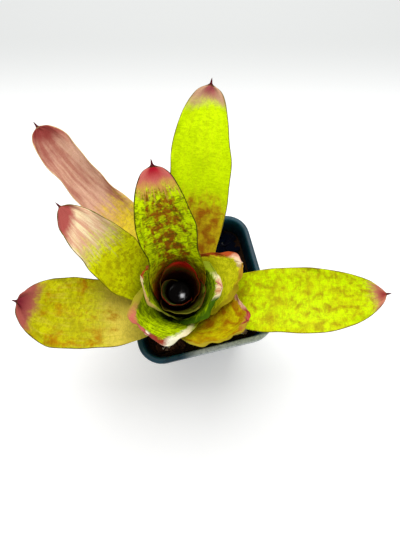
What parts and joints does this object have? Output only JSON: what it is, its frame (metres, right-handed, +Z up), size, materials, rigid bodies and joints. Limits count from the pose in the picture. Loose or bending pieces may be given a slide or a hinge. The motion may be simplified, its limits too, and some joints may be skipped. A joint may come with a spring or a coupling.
{
  "type": "potted bromeliad",
  "caption": "Small mottled tank bromeliad in a square tapered nursery pot: spreading lime leaves with red tips round an upright open tank.",
  "frame": {"origin": "centre of the pot's underside, on the surface it stands on", "axes": "+Z up; X and Y along the pot's sides, with the plant set left of and in front of the pot's centre, towards -X and -Y"},
  "size_m": [0.2255, 0.1637, 0.1544],
  "materials": {
    "leaf_heart_a": "satin",
    "leaf_heart_b": "satin",
    "leaf_heart_c": "satin",
    "leaf_centre": "satin",
    "leaf_cup_left": "satin",
    "leaf_cup_right": "satin",
    "leaf_front_left": "satin",
    "leaf_back_right": "satin",
    "leaf_front_right": "satin",
    "leaf_back": "satin",
    "leaf_mid_left": "satin",
    "leaf_far_left": "satin",
    "leaf_right": "satin",
    "leaf_left": "satin",
    "pot": "satin",
    "growing_mix": "matte",
    "bark": "matte",
    "stem": "matte"
  },
  "bodies": {
    "root": {"pot": "pot", "growing_mix": "growing_mix", "stem": "stem", "leaf_heart_a": "leaf_heart_a", "leaf_heart_b": "leaf_heart_b", "leaf_heart_c": "leaf_heart_c", "leaf_centre": "leaf_centre", "leaf_cup_left": "leaf_cup_left", "leaf_cup_right": "leaf_cup_right", "leaf_front_left": "leaf_front_left", "leaf_back_right": "leaf_back_right", "leaf_front_right": "leaf_front_right", "leaf_back": "leaf_back", "leaf_mid_left": "leaf_mid_left", "leaf_far_left": "leaf_far_left", "leaf_right": "leaf_right", "leaf_left": "leaf_left", "bark_chip_1": "bark", "bark_chip_2": "bark", "bark_chip_3": "bark", "bark_chip_4": "bark", "bark_chip_5": "bark", "bark_chip_6": "bark", "bark_chip_7": "bark", "bark_chip_8": "bark", "bark_chip_9": "bark", "bark_chip_10": "bark"}
  },
  "joints": []
}
